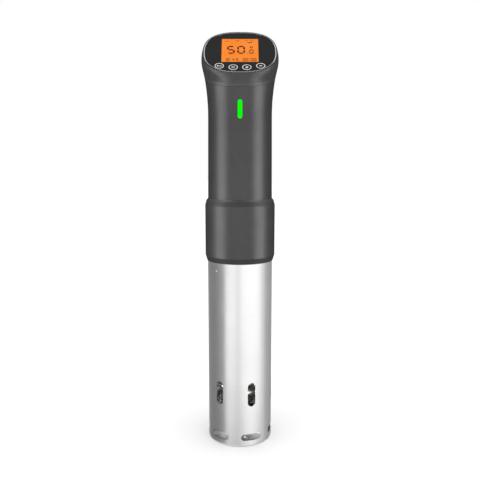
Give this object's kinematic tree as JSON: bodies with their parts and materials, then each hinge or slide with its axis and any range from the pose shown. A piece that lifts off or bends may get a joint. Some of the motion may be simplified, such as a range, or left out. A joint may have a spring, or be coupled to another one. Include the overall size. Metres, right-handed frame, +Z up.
{
  "type": "sous vide circulator",
  "caption": "Stick-shaped immersion circulator: slanted display head, round grip, collar with sprung pot clip, and a slotted steel sleeve over heater and pump.",
  "frame": {"origin": "centre of the flat foot, on the surface it stands on", "axes": "+Z up along the body, -Y towards the display, +Y towards the clip, +X to the right as seen from the front"},
  "size_m": [0.0682, 0.0889, 0.3777],
  "materials": {
    "sleeve_steel": "brushed satin",
    "cap_steel": "brushed satin",
    "collar_plastic": "fine matte",
    "grip_plastic": "satin",
    "head_plastic": "satin",
    "rim_metal": "bright",
    "panel_gloss": "glossy",
    "key_print": "printed",
    "lcd_amber": "backlit display",
    "green_light": "lit lens",
    "white_plastic": "moulded",
    "black_plastic": "moulded",
    "blue_plastic": "glossy",
    "circuit_board": "solder mask",
    "copper_parts": "enamelled wire",
    "aluminium_parts": "extruded",
    "bright_steel": "machined",
    "spring_steel": "drawn wire",
    "heater_steel": "heat stained",
    "bronze": "sintered",
    "magnet": "ferrite",
    "chassis_plastic": "moulded",
    "black_rubber": "matte",
    "pad_rubber": "matte",
    "clip_plastic": "fine matte"
  },
  "bodies": {
    "sleeve": {"sleeve": "sleeve_steel", "end_cap": "cap_steel"},
    "housing": {"collar": "collar_plastic", "grip": "grip_plastic", "head_cap": "head_plastic", "panel_rim": "rim_metal", "front_panel": "panel_gloss", "touch_keys": "key_print", "lcd_module": "lcd_amber", "backlight": "white_plastic", "display_board": "circuit_board", "buzzer": "black_plastic", "status_light": "green_light", "led_board": "circuit_board", "ribbon_cable": "white_plastic", "power_board": "circuit_board", "transformer": "copper_parts", "capacitors": "blue_plastic", "relay": "blue_plastic", "heat_sink": "aluminium_parts", "board_screws": "bright_steel", "cord_gland": "black_rubber", "gland_nut": "black_plastic", "chassis": "chassis_plastic", "flange_seal": "black_rubber", "motor_plate": "bright_steel", "plate_screws": "bright_steel", "motor_can": "bright_steel", "motor_stator": "copper_parts", "motor_bearings": "bright_steel", "shaft_seal": "black_rubber", "deck_bearing": "bronze", "heater_coil": "heater_steel", "heater_nuts": "bronze", "temperature_probe": "bright_steel", "level_probes": "bright_steel", "probe_grommets": "black_rubber", "support_rods": "bright_steel", "rod_nuts": "bright_steel", "pump_plate": "bright_steel", "pump_bushing": "bronze", "clip_bracket": "clip_plastic", "bracket_screws": "bright_steel", "clip_pin": "bright_steel", "pin_clips": "bright_steel", "clip_spring": "spring_steel"},
    "rotor": {"motor_rotor": "magnet", "motor_shaft": "bright_steel", "shaft_coupling": "bronze", "drive_shaft": "bright_steel", "impeller": "black_plastic", "impeller_nut": "bright_steel", "cooling_fan": "black_plastic"},
    "clip_arm": {"clip_arm": "clip_plastic", "clip_pad": "pad_rubber"}
  },
  "joints": [
    {"name": "housing_lift", "type": "slide", "parent": "sleeve", "child": "housing", "axis": [0, 0, 1], "range_m": [0, 0.18]},
    {"name": "rotor_spin", "type": "hinge", "parent": "housing", "child": "rotor", "pos_m": [0, 0, 0.03], "axis": [0, 0, 1], "continuous": true},
    {"name": "clip_squeeze", "type": "hinge", "parent": "housing", "child": "clip_arm", "pos_m": [0, 0.042, 0.206], "axis": [1, 0, 0], "range_deg": [0, 20], "stiffness_Nm_per_rad": 0.5, "springref_deg": -45.84, "deforming": ["clip_spring"]}
  ]
}
